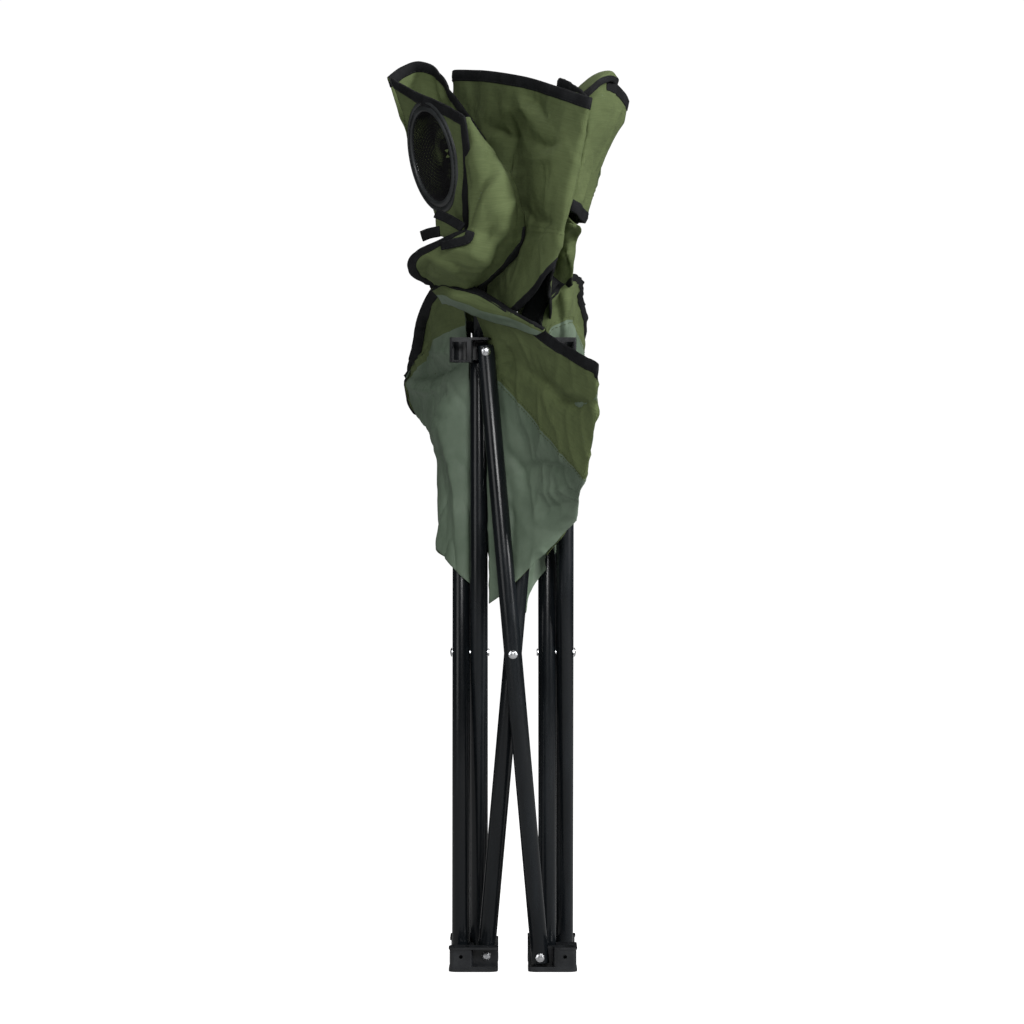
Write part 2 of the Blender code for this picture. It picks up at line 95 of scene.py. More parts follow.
# Control points of each sheet, rows from its top edge down.
CLOTH_POINTS = {
    "seat_front": [
        [(-46, -40, 614), (-31, -70, 609), (-3, -100, 591), (28, -135, 572), (54, -175, 552),
         (72, -205, 539), (68, -190, 532), (56, -130, 543), (39, -52, 561)],
        [(-33, -30, 582), (-23, -44, 573), (2, -85, 553), (28, -125, 531), (50, -165, 508),
         (70, -195, 492), (65, -180, 489), (54, -125, 507), (39, -50, 523)],
        [(-27, -30, 549), (-14, -41, 533), (6, -70, 510), (26, -102, 486), (44, -135, 464),
         (62, -160, 444), (58, -148, 444), (49, -105, 463), (35, -48, 487)],
        [(-24, -30, 442), (-12, -41, 442), (10, -55, 433), (29, -75, 426), (45, -95, 424),
         (58, -112, 427), (55, -104, 425), (44, -80, 428), (32, -47, 433)],
        [(-22, -28, 330), (-7, -42, 341), (3, -50, 351), (21, -58, 369), (39, -64, 387), (55, -72, 405),
         (53, -66, 402), (42, -58, 388), (30, -47, 374)],
    ],
    "seat_roll": [
        [(-74, -52, 617), (-63, -74, 622), (-51, -86, 617), (-33, -90, 610), (-7, -104, 595),
         (28, -136, 573)],
        [(-72, -58, 612), (-62, -80, 613), (-52, -92, 608), (-34, -96, 603), (-7, -110, 590),
         (27, -139, 571)],
        [(-67, -56, 606), (-59, -78, 604), (-49, -88, 600), (-31, -92, 593), (-4, -108, 583),
         (25, -137, 570)],
        [(-63, -46, 601), (-56, -64, 598), (-46, -74, 593), (-29, -80, 586), (-4, -98, 577),
         (21, -130, 568)],
    ],
    "seat_left": [
        [(-44, -34, 616), (-61, -8, 621), (-74, 20, 619), (-88, 70, 596), (-95, 125, 571),
         (-103, 187, 543), (-101, 186, 519), (-91, 170, 508), (-73, 120, 529), (-54, 60, 582)],
        [(-44, -24, 602), (-57, -4, 603), (-67, 20, 608), (-77, 72, 590), (-87, 123, 567),
         (-102, 186, 541), (-100, 185, 520), (-91, 169, 509), (-73, 119, 528), (-54, 59, 580)],
        [(-42, -22, 582), (-52, -4, 579), (-63, 22, 575), (-75, 66, 569), (-86, 116, 557),
         (-100, 183, 539), (-98, 183, 521), (-90, 167, 510), (-72, 117, 526), (-53, 57, 577)],
        [(-39, -8, 515), (-48, -2, 513), (-59, 12, 508), (-67, 35, 498), (-72, 65, 488), (-72, 90, 480),
         (-70, 92, 475), (-65, 86, 473), (-56, 68, 489), (-48, 40, 517)],
        [(-38, 0, 442), (-45, -2, 440), (-53, 2, 435), (-61, 12, 431), (-68, 25, 430), (-71, 38, 428),
         (-69, 45, 424), (-62, 50, 424), (-54, 45, 433), (-47, 35, 443)],
        [(-37, 3, 346), (-42, -3, 350), (-49, -3, 356), (-58, 2, 365), (-65, 14, 373), (-70, 25, 379),
         (-68, 32, 375), (-60, 34, 369), (-51, 30, 361), (-43, 28, 355)],
    ],
    "seat_right": [
        [(22, -45, 586), (25, -44, 603), (39, -42, 619), (53, -24, 628), (65, 60, 627), (65, 120, 617),
         (71, 185, 589), (65, 180, 569), (54, 120, 566), (47, 60, 582)],
        [(26, -46, 579), (30, -45, 593), (41, -43, 606), (51, -36, 614), (59, 50, 616), (59, 110, 609),
         (64, 165, 582), (59, 165, 566), (52, 112, 558), (47, 58, 571)],
        [(31, -44, 570), (34, -44, 579), (42, -42, 583), (51, -37, 586), (57, 40, 589), (60, 100, 582),
         (66, 155, 562), (59, 156, 551), (54, 108, 547), (49, 55, 556)],
        [(34, -26, 515), (37, -20, 517), (43, -10, 520), (50, 10, 523), (57, 65, 523), (62, 90, 518),
         (65, 110, 505), (60, 100, 500), (54, 75, 504), (49, 48, 517)],
        [(15, -18, 424), (21, -12, 428), (30, -4, 433), (40, 8, 439), (49, 26, 442), (54, 42, 444),
         (57, 55, 438), (54, 52, 438), (50, 45, 443), (46, 38, 452)],
        [(9, -12, 323), (13, -11, 322), (16, -8, 340), (25, -4, 354), (34, 0, 365), (38, 6, 376),
         (39, 14, 385), (37, 26, 378), (33, 28, 367), (29, 28, 355)],
    ],
    "seat_rear": [
        [(-40, 40, 604), (-31, 95, 598), (-15, 160, 573), (10, 213, 541), (22, 160, 568), (32, 95, 593),
         (40, 42, 605)],
        [(-36, 44, 554), (-27, 85, 546), (-13, 130, 529), (9, 165, 511), (19, 130, 527), (28, 85, 544),
         (36, 46, 554)],
        [(-32, 42, 489), (-23, 68, 480), (-12, 92, 471), (6, 112, 460), (16, 92, 469), (25, 68, 480),
         (32, 42, 489)],
        [(-25, 36, 406), (-19, 48, 401), (-10, 60, 396), (3, 66, 393), (12, 60, 396), (19, 48, 401),
         (26, 36, 406)],
        [(-19, 28, 350), (-15, 36, 347), (-8, 42, 343), (1, 45, 341), (8, 42, 343), (15, 36, 347),
         (19, 28, 350)],
    ],
    "back": [
        [(-40, 58, 815), (-50, 52, 819), (-53, 34, 820), (-39, 0, 816), (-19, -48, 809), (11, -105, 797),
         (41, -146, 783), (62, -170, 773), (68, -172, 771), (65, -160, 773), (54, -90, 792),
         (45, -20, 806), (41, 30, 811), (46, 58, 809)],
        [(-40, 58, 777), (-50, 52, 777), (-52, 34, 775), (-38, -2, 770), (-19, -50, 763), (6, -104, 753),
         (32, -146, 741), (52, -168, 733), (59, -171, 730), (57, -158, 731), (48, -90, 744),
         (41, -20, 755), (40, 30, 761), (46, 58, 763)],
        [(-40, 58, 731), (-50, 52, 730), (-51, 34, 729), (-37, -4, 723), (-18, -52, 717), (4, -100, 709),
         (28, -142, 699), (43, -164, 693), (49, -168, 690), (48, -155, 692), (42, -88, 701),
         (37, -20, 711), (39, 30, 715), (46, 58, 717)],
        [(-40, 58, 680), (-50, 52, 679), (-50, 34, 678), (-36, -6, 674), (-18, -52, 669), (3, -96, 665),
         (24, -135, 660), (37, -158, 657), (43, -163, 655), (41, -150, 656), (36, -85, 664),
         (35, -20, 671), (39, 30, 675), (46, 58, 677)],
        [(-40, 58, 582), (-49, 52, 582), (-49, 34, 581), (-36, -6, 577), (-19, -48, 575), (-4, -84, 582),
         (11, -118, 598), (24, -142, 612), (34, -152, 626), (33, -140, 623), (32, -82, 602),
         (33, -20, 578), (39, 30, 573), (46, 58, 575)],
    ],
    "arm_left_cup": [
        [(-109, -32, 805), (-91, -65, 791), (-74, -98, 780), (-56, -130, 768), (-42, -155, 757)],
        [(-99, -38, 773), (-85, -65, 766), (-70, -94, 757), (-55, -123, 748), (-39, -150, 737)],
        [(-91, -41, 744), (-79, -64, 737), (-66, -89, 730), (-52, -115, 723), (-38, -141, 716)],
        [(-82, -45, 712), (-73, -62, 707), (-62, -82, 702), (-50, -107, 696), (-39, -128, 691)],
        [(-71, -54, 683), (-63, -69, 678), (-54, -85, 673), (-46, -100, 667), (-38, -115, 663)],
        [(-68, -49, 663), (-59, -67, 658), (-52, -81, 655), (-45, -93, 652), (-38, -108, 650)],
    ],
    "arm_left_bulge": [
        [(-42, -135, 759), (-41, -136, 758), (-40, -136, 757), (-39, -134, 756)],
        [(-40, -138, 738), (-34, -143, 738), (-28, -139, 737), (-22, -127, 734)],
        [(-39, -139, 716), (-30, -149, 715), (-20, -141, 714), (-11, -117, 713)],
        [(-38, -140, 689), (-25, -147, 689), (-13, -145, 687), (0, -109, 688)],
        [(-39, -137, 658), (-24, -144, 660), (-7, -143, 662), (9, -102, 666)],
        [(-63, -130, 652), (-44, -140, 646), (-20, -139, 642), (5, -100, 645)],
        [(-88, -104, 640), (-67, -126, 629), (-36, -128, 625), (-9, -92, 628)],
        [(-91, -84, 627), (-68, -92, 618), (-42, -96, 611), (-26, -80, 613)],
        [(-79, -64, 615), (-65, -62, 612), (-46, -64, 606), (-31, -66, 606)],
    ],
    "arm_left_top": [
        [(-113, -8, 809), (-102, 8, 820), (-85, 10, 825), (-66, 0, 813), (-46, -18, 783),
         (-24, -38, 749)],
        [(-107, -4, 793), (-97, 12, 798), (-82, 16, 800), (-61, 4, 790), (-43, -15, 762),
         (-23, -38, 726)],
        [(-93, -2, 745), (-85, 14, 745), (-72, 18, 745), (-53, 6, 740), (-37, -12, 724),
         (-22, -38, 695)],
        [(-72, -2, 687), (-69, 12, 692), (-61, 16, 694), (-47, 8, 691), (-33, -10, 683),
         (-21, -38, 663)],
    ],
    "arm_left_strap": [
        [(-41, -126, 757), (-36, -90, 757), (-39, -30, 754), (-45, 40, 748)],
        [(-24, -119, 734), (-25, -85, 735), (-34, -25, 737), (-45, 42, 734)],
        [(-13, -109, 713), (-17, -78, 714), (-28, -22, 714), (-44, 43, 716)],
        [(-2, -101, 688), (-8, -72, 688), (-23, -18, 691), (-44, 44, 696)],
        [(6, -94, 666), (-1, -68, 668), (-17, -16, 671), (-43, 44, 676)],
        [(2, -91, 646), (-4, -66, 648), (-19, -16, 651), (-43, 44, 657)],
    ],
    "arm_right_outer": [
        [(60, -122, 781), (71, -120, 790), (82, -104, 795), (93, -82, 791), (100, -60, 782)],
        [(58, -125, 753), (68, -126, 756), (78, -110, 759), (88, -84, 762), (95, -64, 765)],
        [(55, -120, 727), (63, -121, 729), (72, -108, 732), (79, -88, 735), (85, -68, 738)],
        [(51, -115, 701), (56, -115, 702), (63, -105, 704), (68, -90, 705), (74, -72, 708)],
        [(47, -110, 683), (51, -110, 680), (56, -103, 677), (59, -92, 674), (62, -78, 672)],
    ],
    "arm_right_flap": [
        [(55, -96, 785), (66, -98, 796), (77, -94, 803), (87, -86, 805), (94, -74, 801)],
        [(56, -116, 779), (68, -118, 789), (78, -112, 797), (87, -100, 799), (93, -84, 798)],
        [(60, -130, 773), (69, -132, 781), (78, -124, 789), (87, -108, 794), (92, -88, 793)],
    ],
    "arm_right_inner": [
        [(10, 36, 782), (32, -28, 777), (42, -60, 780), (53, -95, 780), (62, -123, 778)],
        [(10, 36, 747), (32, -28, 741), (39, -60, 740), (48, -92, 740), (56, -118, 728)],
        [(10, 36, 710), (32, -28, 705), (38, -58, 704), (44, -86, 703), (50, -112, 700)],
        [(10, 36, 681), (32, -28, 676), (36, -55, 674), (42, -80, 674), (49, -100, 675)],
        [(9, 38, 670), (31, -28, 667), (39, -60, 668), (49, -92, 669), (61, -82, 665)],
        [(8, 40, 659), (31, -28, 657), (38, -50, 655), (47, -66, 655), (57, -68, 655)],
        [(7, 40, 644), (31, -28, 643), (39, -52, 642), (47, -72, 643), (55, -64, 641)],
        [(6, 40, 626), (31, -28, 627), (39, -44, 629), (48, -56, 631), (54, -58, 628)],
        [(6, 40, 561), (30, -14, 569), (39, -30, 596), (48, -40, 613), (54, -50, 618)],
    ],
    "arm_right_strap": [
        [(99, -56, 781), (90, -10, 783), (71, 25, 781), (50, 46, 778)],
        [(84, -64, 736), (79, -15, 741), (64, 22, 743), (50, 46, 744)],
        [(73, -68, 706), (68, -20, 711), (58, 20, 713), (50, 46, 713)],
        [(63, -74, 672), (61, -25, 676), (55, 18, 678), (50, 46, 682)],
    ],
}

# Folds of each sheet: a line of (x, z) in the front view, a height (negative is a groove), a width.
FOLDS = {
    "arm_left_bulge": [
        ([(-23, 725), (-19, 711), (-19, 698), (-24, 684), (-29, 668), (-33, 656)], 14.4, 6.0),
        ([(-25, 723), (-23, 709), (-24, 696), (-28, 684), (-32, 670), (-36, 658)], -4.8, 2.6),
        ([(-11, 703), (-8, 682), (-11, 665), (-22, 646)], 5.6, 7.0),
        ([(-13, 665), (-21, 653), (-29, 642)], -7.2, 3.5),
        ([(-35, 730), (-32, 703), (-34, 673)], 3.2, 5.0),
        ([(-66, 636), (-51, 629), (-38, 617)], -4.8, 4.0),
        ([(-77, 639), (-80, 627), (-77, 617)], -8.0, 3.5),
        ([(-59, 643), (-38, 641), (-22, 633)], 4.8, 6.0),
        ([(-11, 651), (-13, 638), (-26, 622)], -4.0, 4.0),
    ],
    "arm_left_top": [
        ([(-91, 816), (-83, 806), (-82, 791)], -4.8, 4.0),
        ([(-70, 810), (-63, 793), (-46, 773)], 4.0, 5.0),
    ],
    "arm_left_cup": [
        ([(-65, 672), (-54, 666), (-42, 661)], -2.4, 3.0),
    ],
    "back": [
        ([(7, 785), (17, 772), (29, 755)], -8.0, 4.5),
        ([(2, 789), (7, 772), (24, 745)], 4.8, 7.0),
        ([(-4, 776), (-7, 759), (-8, 737), (-5, 707)], -11.2, 8.0),
        ([(-22, 760), (-11, 749), (-9, 740)], -8.0, 4.0),
        ([(15, 738), (27, 733), (40, 733)], -6.4, 3.5),
        ([(20, 722), (32, 721), (41, 722)], 4.0, 5.0),
        ([(50, 769), (42, 737), (32, 687), (28, 657)], 4.0, 9.0),
        ([(7, 682), (16, 671), (29, 667), (39, 659)], -4.0, 3.5),
        ([(18, 654), (25, 658), (32, 674)], -4.0, 4.0),
        ([(-1, 694), (2, 668), (0, 644)], -7.2, 6.0),
        ([(-15, 715), (-8, 680), (-3, 658)], 4.0, 6.0),
    ],
    "arm_right_outer": [
        ([(70, 776), (62, 749), (57, 719)], -5.6, 5.0),
        ([(75, 788), (83, 768), (77, 735)], 4.0, 8.0),
        ([(57, 765), (64, 772), (71, 778)], -4.8, 4.0),
        ([(64, 736), (59, 714), (52, 689)], 3.2, 5.0),
    ],
    "arm_right_inner": [
        ([(47, 663), (54, 658), (58, 656)], -4.8, 3.0),
        ([(42, 652), (47, 640), (49, 630)], -5.6, 3.5),
    ],
    "seat_front": [
        ([(8, 538), (24, 528), (39, 522)], -8.0, 3.5),
        ([(27, 525), (38, 512), (52, 504), (68, 509)], -8.0, 4.0),
        ([(31, 529), (47, 517), (62, 512)], 4.8, 6.0),
        ([(-8, 563), (-6, 547), (-12, 534)], -8.0, 5.0),
        ([(15, 573), (28, 561), (45, 550)], 4.0, 7.0),
        ([(52, 450), (40, 453), (24, 456), (4, 451)], -5.6, 3.5),
        ([(-6, 467), (2, 453), (10, 434)], -6.4, 4.0),
        ([(53, 437), (42, 434), (24, 431)], 4.0, 5.0),
        ([(29, 444), (24, 424), (20, 397)], 4.0, 9.0),
        ([(-5, 442), (-1, 406), (-4, 370)], -6.4, 7.0),
        ([(54, 424), (35, 418), (19, 406)], -3.2, 4.0),
    ],
    "seat_roll": [
        ([(-61, 607), (-38, 601), (-11, 587)], 4.0, 4.0),
    ],
    "seat_left": [
        ([(-102, 544), (-79, 540), (-58, 545), (-44, 550)], 8.0, 3.5),
        ([(-100, 536), (-79, 527), (-60, 530)], -7.2, 4.5),
        ([(-79, 534), (-62, 525), (-56, 514)], 4.8, 5.0),
        ([(-62, 517), (-66, 498), (-68, 471)], -8.0, 5.0),
        ([(-59, 489), (-53, 442), (-52, 387)], -6.4, 7.0),
        ([(-68, 471), (-64, 424), (-62, 378)], 4.0, 6.0),
        ([(-83, 596), (-79, 583), (-84, 566), (-91, 547)], 4.8, 5.0),
        ([(-71, 608), (-68, 592), (-71, 574)], -8.0, 5.0),
        ([(-82, 564), (-69, 559), (-49, 561)], -4.8, 4.0),
    ],
    "seat_right": [
        ([(43, 587), (54, 586), (67, 593)], -4.0, 4.0),
    ],
}

# Lengths of flat tape: body, width in millimetres, points in millimetres from the feet's middle.
RIBBONS = {
    "arm_left_cross_tape": (
        "arm_left_front", 8.5, [(-68, -106, 677), (-57, -121, 671), (-44, -138, 662)],
    ),
    "arm_left_tab": (
        "arm_left_front", 9.5, [(-81, -90, 658), (-74, -98, 660), (-65, -108, 661)],
    ),
    "arm_left_low_tape": (
        "arm_left_front", 8.0, [(-37, -150, 658), (-40, -150, 651), (-51, -146, 648), (-63, -139, 646)],
    ),
    "strap_loop": (
        "hub_front_right", 16.0, [(14, -44, 584), (20, -50, 600), (29, -54, 616), (36, -50, 625)],
    ),
}


# ---------------------------------------------------------------- materials

def new_material(name, colour, roughness, metallic=0.0, specular=0.5):
    material = bpy.data.materials.new(name)
    material.use_nodes = True
    shader = material.node_tree.nodes["Principled BSDF"]
    shader.inputs["Base Color"].default_value = (*colour, 1.0)
    shader.inputs["Roughness"].default_value = roughness
    shader.inputs["Metallic"].default_value = metallic
    shader.inputs["Specular IOR Level"].default_value = specular
    return material


class Nodes:
    """Short calls for building a material's node tree."""

    def __init__(self, material):
        self.tree = material.node_tree
        self.shader = self.tree.nodes["Principled BSDF"]

    def add(self, kind, settings=(), **inputs):
        node = self.tree.nodes.new(kind)
        for key, value in dict(settings).items():
            setattr(node, key, value)
        for key, value in inputs.items():
            self.set(node, key.replace("_", " "), value)
        return node

    def set(self, node, socket, value):
        target = node.inputs[socket]
        if isinstance(value, bpy.types.NodeSocket):
            self.tree.links.new(value, target)
        else:
            target.default_value = value

    def maths(self, operation, a, b=0.0):
        node = self.tree.nodes.new("ShaderNodeMath")
        node.operation = operation
        self.set(node, 0, a)
        self.set(node, 1, b)
        return node.outputs[0]

    def noise(self, vector, scale, detail=2.0, roughness=0.5):
        node = self.add(
            "ShaderNodeTexNoise", Vector=vector, Scale=scale, Detail=detail, Roughness=roughness
        )
        return node.outputs["Fac"]

    def place(self, vector, scale):
        return self.add("ShaderNodeMapping", Vector=vector, Scale=scale).outputs[0]

    def coordinates(self, kind="Object"):
        return self.add("ShaderNodeTexCoord").outputs[kind]

    def between(self, value, low, high, out_low=0.0, out_high=1.0):
        node = self.add("ShaderNodeMapRange", Value=value)
        for socket, number in ((1, low), (2, high), (3, out_low), (4, out_high)):
            node.inputs[socket].default_value = number
        return node.outputs[0]

    def mix(self, factor, a, b):
        node = self.tree.nodes.new("ShaderNodeMix")
        node.data_type = "RGBA"
        self.set(node, 0, factor)
        node.inputs[6].default_value = (*a, 1.0) if not isinstance(a, bpy.types.NodeSocket) else (0, 0, 0, 1)
        if isinstance(a, bpy.types.NodeSocket):
            self.tree.links.new(a, node.inputs[6])
        node.inputs[7].default_value = (*b, 1.0)
        return node.outputs[2]

    def bump(self, height, distance, strength=1.0, normal=None):
        node = self.add("ShaderNodeBump", Height=height, Distance=distance, Strength=strength)
        if normal is not None:
            self.set(node, "Normal", normal)
        return node.outputs[0]

    def finish(self, **sockets):
        for key, value in sockets.items():
            self.set(self.shader, key.replace("_", " "), value)


def weave_height(nodes, thread):
    """Height of a plain weave: warp and weft threads of one width, over and under."""
    uv = nodes.coordinates("UV")
    split = nodes.add("ShaderNodeSeparateXYZ", Vector=nodes.place(uv, (1 / thread,) * 3))
    across, along = split.outputs[0], split.outputs[1]
    warp = nodes.maths("ABSOLUTE", nodes.maths("SINE", nodes.maths("MULTIPLY", across, math.pi)))
    weft = nodes.maths("ABSOLUTE", nodes.maths("SINE", nodes.maths("MULTIPLY", along, math.pi)))
    column = nodes.maths("FLOOR", across)
    row = nodes.maths("FLOOR", along)
    over = nodes.maths("PINGPONG", nodes.maths("ADD", column, row), 1.0)
    under = nodes.maths("SUBTRACT", 1.0, over)
    return nodes.maths(
        "ADD", nodes.maths("MULTIPLY", warp, over), nodes.maths("MULTIPLY", weft, under)
    )


def woven(name, dark, light, roughness, thread, depth):
    """Woven cloth: the weave in the bump, painted shade in the weave's hollows, and soft patches of wear and
    slub.
    """
    material = new_material(name, light, roughness, specular=0.22)
    nodes = Nodes(material)
    where = nodes.coordinates()
    height = weave_height(nodes, thread)
    patch = nodes.noise(where, 14.0, 3.0, 0.6)
    slub = nodes.noise(nodes.place(nodes.coordinates("UV"), (60.0, 900.0, 1.0)), 1.0, 2.0)
    tone = nodes.maths("ADD", nodes.maths("MULTIPLY", patch, 0.6), nodes.maths("MULTIPLY", slub, 0.4))
    tone = nodes.between(tone, 0.35, 0.65)
    colour = nodes.mix(tone, dark, light)
    # Painted shade: the colour is pulled towards a darker copy where the weave sits low, between the
    # threads.
    shade = nodes.between(height, 0.0, 1.0, 0.0, 0.35)
    hollow_shade = tuple(0.55 * c for c in dark)
    lit = nodes.mix(nodes.maths("SUBTRACT", 0.35, shade), colour, hollow_shade)
    crumple = nodes.noise(where, 90.0, 3.0, 0.55)
    normal = nodes.bump(crumple, 0.0012, 0.6)
    normal = nodes.bump(height, depth, 0.6, normal)
    nodes.finish(Base_Color=lit, Normal=normal)
    return material


def coated(name, dark, light, roughness):
    """The cloth's coated side: smooth, faintly blotched, with fine creases."""
    material = new_material(name, light, roughness, specular=0.42)
    nodes = Nodes(material)
    where = nodes.coordinates()
    blotch = nodes.between(nodes.noise(where, 22.0, 4.0, 0.6), 0.35, 0.65)
    crease = nodes.noise(nodes.place(where, (160.0, 160.0, 60.0)), 1.0, 4.0, 0.6)
    normal = nodes.bump(crease, 0.0007, 0.45)
    normal = nodes.bump(weave_height(nodes, 0.0007), 0.00004, 0.3, normal)
    rough = nodes.between(crease, 0.3, 0.7, roughness - 0.06, roughness + 0.08)
    nodes.finish(Base_Color=nodes.mix(blotch, dark, light), Roughness=rough, Normal=normal)
    return material


def powder_coat():
    """Gloss black powder coat: fine orange peel, a little dust and rubbing."""
    material = new_material("black_powder_coat", (0.006, 0.0075, 0.009), 0.3, specular=0.35)
    nodes = Nodes(material)
    where = nodes.coordinates()
    peel = nodes.noise(where, 700.0, 2.0)
    rub = nodes.between(nodes.noise(nodes.place(where, (60.0, 60.0, 9.0)), 1.0, 5.0, 0.65), 0.45, 0.75)
    colour = nodes.mix(rub, (0.0055, 0.007, 0.0085), (0.011, 0.014, 0.017))
    rough = nodes.between(rub, 0.0, 1.0, 0.22, 0.36)
    nodes.finish(Base_Color=colour, Roughness=rough, Normal=nodes.bump(peel, 0.00006, 0.35))
    return material


def moulded_plastic(name, colour, roughness):
    """Moulded plastic with a fine spark-eroded grain and dulled patches."""
    material = new_material(name, colour, roughness)
    nodes = Nodes(material)
    where = nodes.coordinates()
    grain = nodes.noise(where, 1600.0, 2.0)
    dull = nodes.between(nodes.noise(where, 45.0, 4.0, 0.6), 0.4, 0.7)
    light = tuple(1.7 * c + 0.003 for c in colour)
    rough = nodes.between(dull, 0.0, 1.0, roughness - 0.08, roughness + 0.1)
    nodes.finish(
        Base_Color=nodes.mix(dull, colour, light), Roughness=rough,
        Normal=nodes.bump(grain, 0.00005, 0.5),
    )
    return material


def zinc_plate():
    """Bright zinc plating, brushed round the head and slightly stained."""
    material = new_material("zinc_plate", (0.72, 0.73, 0.75), 0.28, metallic=1.0)
    nodes = Nodes(material)
    where = nodes.coordinates()
    stain = nodes.between(nodes.noise(where, 420.0, 4.0, 0.6), 0.4, 0.7)
    colour = nodes.mix(stain, (0.82, 0.83, 0.85), (0.58, 0.59, 0.61))
    rough = nodes.between(stain, 0.0, 1.0, 0.2, 0.4)
    nodes.finish(Base_Color=colour, Roughness=rough, Normal=nodes.bump(stain, 0.00004, 0.4))
    return material


def webbing(name, colour, rib):
    """Black woven tape: ribs across it and a plain weave along it."""
    material = new_material(name, colour, 0.75, specular=0.2)
    nodes = Nodes(material)
    uv = nodes.coordinates("UV")
    split = nodes.add("ShaderNodeSeparateXYZ", Vector=nodes.place(uv, (math.pi / rib,) * 3))
    ribs = nodes.maths("ABSOLUTE", nodes.maths("SINE", split.outputs[0]))
    yarn = nodes.maths("ABSOLUTE", nodes.maths("SINE", nodes.maths("MULTIPLY", split.outputs[1], 1.6)))
    height = nodes.maths("MULTIPLY", ribs, nodes.maths("ADD", yarn, 0.5))
    worn = nodes.between(nodes.noise(nodes.coordinates(), 60.0, 3.0, 0.6), 0.4, 0.7)
    light = tuple(2.2 * c + 0.003 for c in colour)
    shown = nodes.mix(nodes.maths("MULTIPLY", worn, height), colour, light)
    nodes.finish(Base_Color=shown, Normal=nodes.bump(height, 0.00016, 0.7))
    return material


OLIVE = woven("olive_cloth", (0.090, 0.118, 0.047), (0.140, 0.178, 0.074), 0.8, 0.00075, 0.00022)
COATED = coated("coated_cloth", (0.112, 0.158, 0.108), (0.156, 0.208, 0.150), 0.6)
TAPE = webbing("binding_tape", (0.0050, 0.0055, 0.0065), 0.0011)
MESH_YARN = woven("mesh_yarn", (0.005, 0.005, 0.006), (0.012, 0.012, 0.013), 0.7, 0.0003, 0.00004)
OLIVE_THREAD = woven("olive_thread", (0.05, 0.070, 0.022), (0.10, 0.130, 0.045), 0.6, 0.0004, 0.00005)
BLACK_THREAD = woven("black_thread", (0.010, 0.011, 0.012), (0.024, 0.026, 0.028), 0.6, 0.0004, 0.00005)
POWDER = powder_coat()
BLACK_PLASTIC = moulded_plastic("black_plastic", (0.007, 0.008, 0.0095), 0.36)
GREY_PLASTIC = moulded_plastic("grey_plastic", (0.024, 0.027, 0.028), 0.4)
ZINC = zinc_plate()


# ---------------------------------------------------------------- mesh tools

def make_object(name, points, faces, materials, face_materials=None, uv=None):
    """A smooth mesh object from points, faces and, for each point, its place in the cloth."""
    mesh = bpy.data.meshes.new(name)
    mesh.from_pydata([tuple(map(float, p)) for p in points], [], [tuple(map(int, f)) for f in faces])
    for material in materials:
        mesh.materials.append(material)
    if face_materials is not None:
        mesh.polygons.foreach_set("material_index", np.asarray(face_materials, np.int32))
    if uv is not None:
        layer = mesh.uv_layers.new(name="cloth")
        corner_points = np.empty(len(mesh.loops), np.int32)
        mesh.loops.foreach_get("vertex_index", corner_points)
        layer.data.foreach_set("uv", np.asarray(uv, np.float32)[corner_points].ravel())
    mesh.shade_smooth()
    mesh.update()
    obj = bpy.data.objects.new(name, mesh)
    bpy.context.scene.collection.objects.link(obj)
    return obj


def through(points, where):
    """Points at parameters `where` on the Catmull-Rom curve through the first axis of `points`."""
    first, last = 2 * points[0] - points[1], 2 * points[-1] - points[-2]
    p = np.concatenate([first[None], points, last[None]])
    span = np.clip(np.floor(where).astype(int), 0, len(points) - 2)
    t = (where - span).reshape(-1, *([1] * (points.ndim - 1)))
    a, b, c, d = p[span], p[span + 1], p[span + 2], p[span + 3]
    return 0.5 * (
        2 * b + (c - a) * t + (2 * a - 5 * b + 4 * c - d) * t**2 + (3 * b - a - 3 * c + d) * t**3
    )


def even_steps(points, pitch):
    """Parameters that cut the curves along the first axis into about equal lengths."""
    fine = np.linspace(0, len(points) - 1, 24 * (len(points) - 1) + 1)
    step = np.linalg.norm(np.diff(through(points, fine), axis=0), axis=-1)
    if step.ndim > 1:
        step = step.mean(axis=1)
    length = np.concatenate([[0], np.cumsum(step)])
    count = max(4, int(math.ceil(length[-1] / pitch)))
    return np.interp(np.linspace(0, length[-1], count + 1), length, fine)


def grid_normals(grid):
    down, across = np.gradient(grid, axis=0), np.gradient(grid, axis=1)
    normal = np.cross(down, across)
    return normal / np.maximum(np.linalg.norm(normal, axis=-1, keepdims=True), 1e-9)


def smooth_noise(points, scale, seed):
    offset = Vector((seed * 3.7, seed * 1.3, seed * 2.1))
    flat = points.reshape(-1, 3)
    values = [noise.noise(Vector(p) * scale + offset) for p in flat]
    return np.array(values).reshape(points.shape[:-1])


